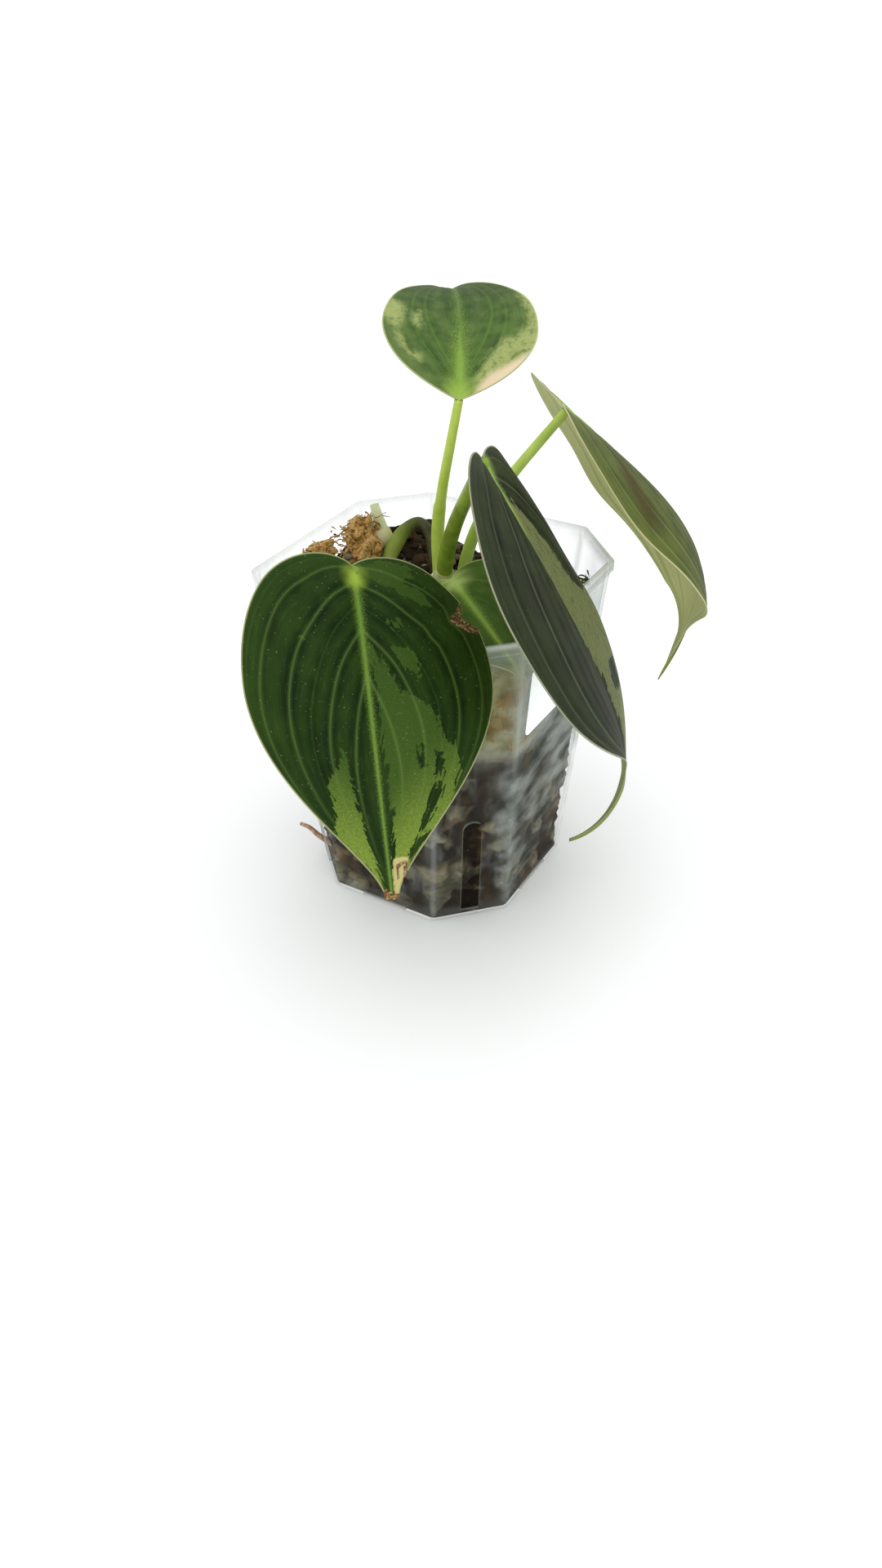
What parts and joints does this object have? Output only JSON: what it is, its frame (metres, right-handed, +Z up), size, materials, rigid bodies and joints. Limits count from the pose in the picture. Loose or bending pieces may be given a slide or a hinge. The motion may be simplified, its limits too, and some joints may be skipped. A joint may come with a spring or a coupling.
{
  "type": "potted black gold philodendron",
  "caption": "Young velvet-leaved philodendron with drooping heart-shaped blades, rooted in potting mix in a clear square nursery pot with cut corners and drain slots.",
  "frame": {"origin": "centre of the pot's underside, on the surface that it stands on", "axes": "+Z up; +X out of the pot wall that carries the label; -Y out of the wall that the large front leaf hangs over"},
  "size_m": [0.1346, 0.1891, 0.187],
  "materials": {
    "clear_plastic": "clear, thin, moulded",
    "potting_mix": "moist crumbs of peat, bark and perlite",
    "label_paper": "smooth white sticker",
    "pale_stem": "satin, pale green to cream",
    "stalk": "satin, lime to olive green",
    "blade": "velvety, dark green with pale veins",
    "young_blade": "velvety, mid green",
    "root": "matte, green to brown",
    "husk": "fibrous, dry"
  },
  "bodies": {
    "root": {"pot": "clear_plastic", "potting_mix": "potting_mix", "label": "label_paper", "stem": "pale_stem", "stalk_front": "stalk", "leaf_front": "blade", "stalk_right": "stalk", "leaf_right": "blade", "stalk_upper_right": "stalk", "leaf_upper_right": "blade", "stalk_back": "stalk", "leaf_back": "young_blade", "stalk_low": "stalk", "leaf_low": "young_blade", "aerial_root": "root", "pale_shoot": "pale_stem", "slot_root": "root", "husk_back": "husk", "husk_left": "husk"}
  },
  "joints": []
}
